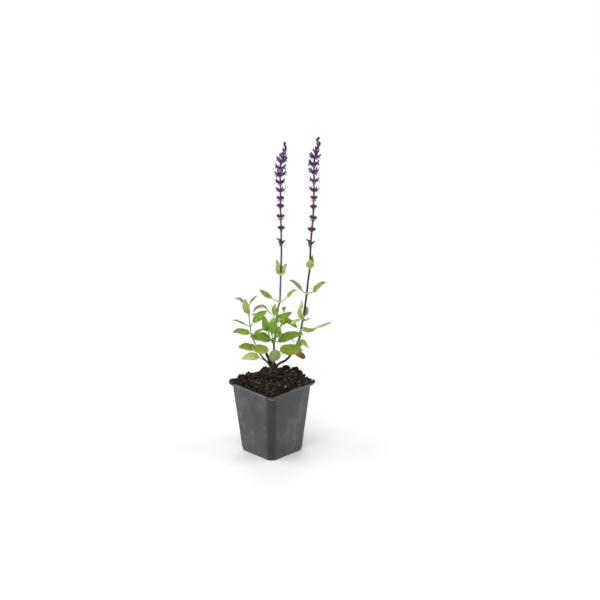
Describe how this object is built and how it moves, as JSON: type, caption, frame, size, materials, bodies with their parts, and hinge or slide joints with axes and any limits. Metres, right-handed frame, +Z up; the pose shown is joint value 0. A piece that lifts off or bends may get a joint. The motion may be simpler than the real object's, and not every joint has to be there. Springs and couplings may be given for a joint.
{
  "type": "potted perennial salvia",
  "caption": "Young perennial salvia in a square nursery pot: slender violet flower spikes over a low bush of toothed opposite leaves.",
  "frame": {"origin": "middle of the pot's flat underside, on the surface that the pot stands on", "axes": "+Z up along the pot's own axis; the pot's sides lie along X and Y; the flower spikes spread along the diagonal from -X -Y to +X +Y, so the plant is seen widest from +X -Y"},
  "size_m": [0.1177, 0.1184, 0.4416],
  "materials": {
    "pot": "satin",
    "soil": "matte",
    "bark": "matte",
    "stem": "matte",
    "leaf": "matte",
    "leaf_yellow": "matte",
    "flower": "matte"
  },
  "bodies": {
    "root": {"crown": "bark", "flower_stem_left": "stem", "flower_stem_right": "stem", "shoot_left_stem": "stem", "shoot_front_stem": "stem", "shoot_back_stem": "stem", "shoot_rear_stem": "stem", "leaf_yellow": "leaf_yellow", "leaf_front": "leaf", "leaf_pair_left_1": "leaf", "leaf_pair_left_2": "leaf", "leaf_pair_left_3": "leaf", "leaf_pair_left_4": "leaf", "leaf_pair_left_5": "leaf", "leaf_pair_right_1": "leaf", "leaf_pair_right_2": "leaf", "leaf_pair_right_3": "leaf", "leaf_pair_right_4": "leaf", "leaf_pair_right_5": "leaf", "leaf_pair_right_6": "leaf", "leaf_pair_shoot_left_1": "leaf", "leaf_pair_shoot_left_2": "leaf", "leaf_pair_shoot_left_3": "leaf", "leaf_pair_shoot_left_4": "leaf", "leaf_pair_shoot_left_5": "leaf", "leaf_pair_shoot_front_1": "leaf", "leaf_pair_shoot_front_2": "leaf", "leaf_pair_shoot_front_3": "leaf", "leaf_pair_shoot_back_1": "leaf", "leaf_pair_shoot_back_2": "leaf", "leaf_pair_shoot_back_3": "leaf", "leaf_pair_shoot_rear_1": "leaf", "leaf_pair_shoot_rear_2": "leaf", "leaf_pair_shoot_rear_3": "leaf", "spike_left": "flower", "spike_right": "flower", "pot": "pot", "soil": "soil"}
  },
  "joints": []
}
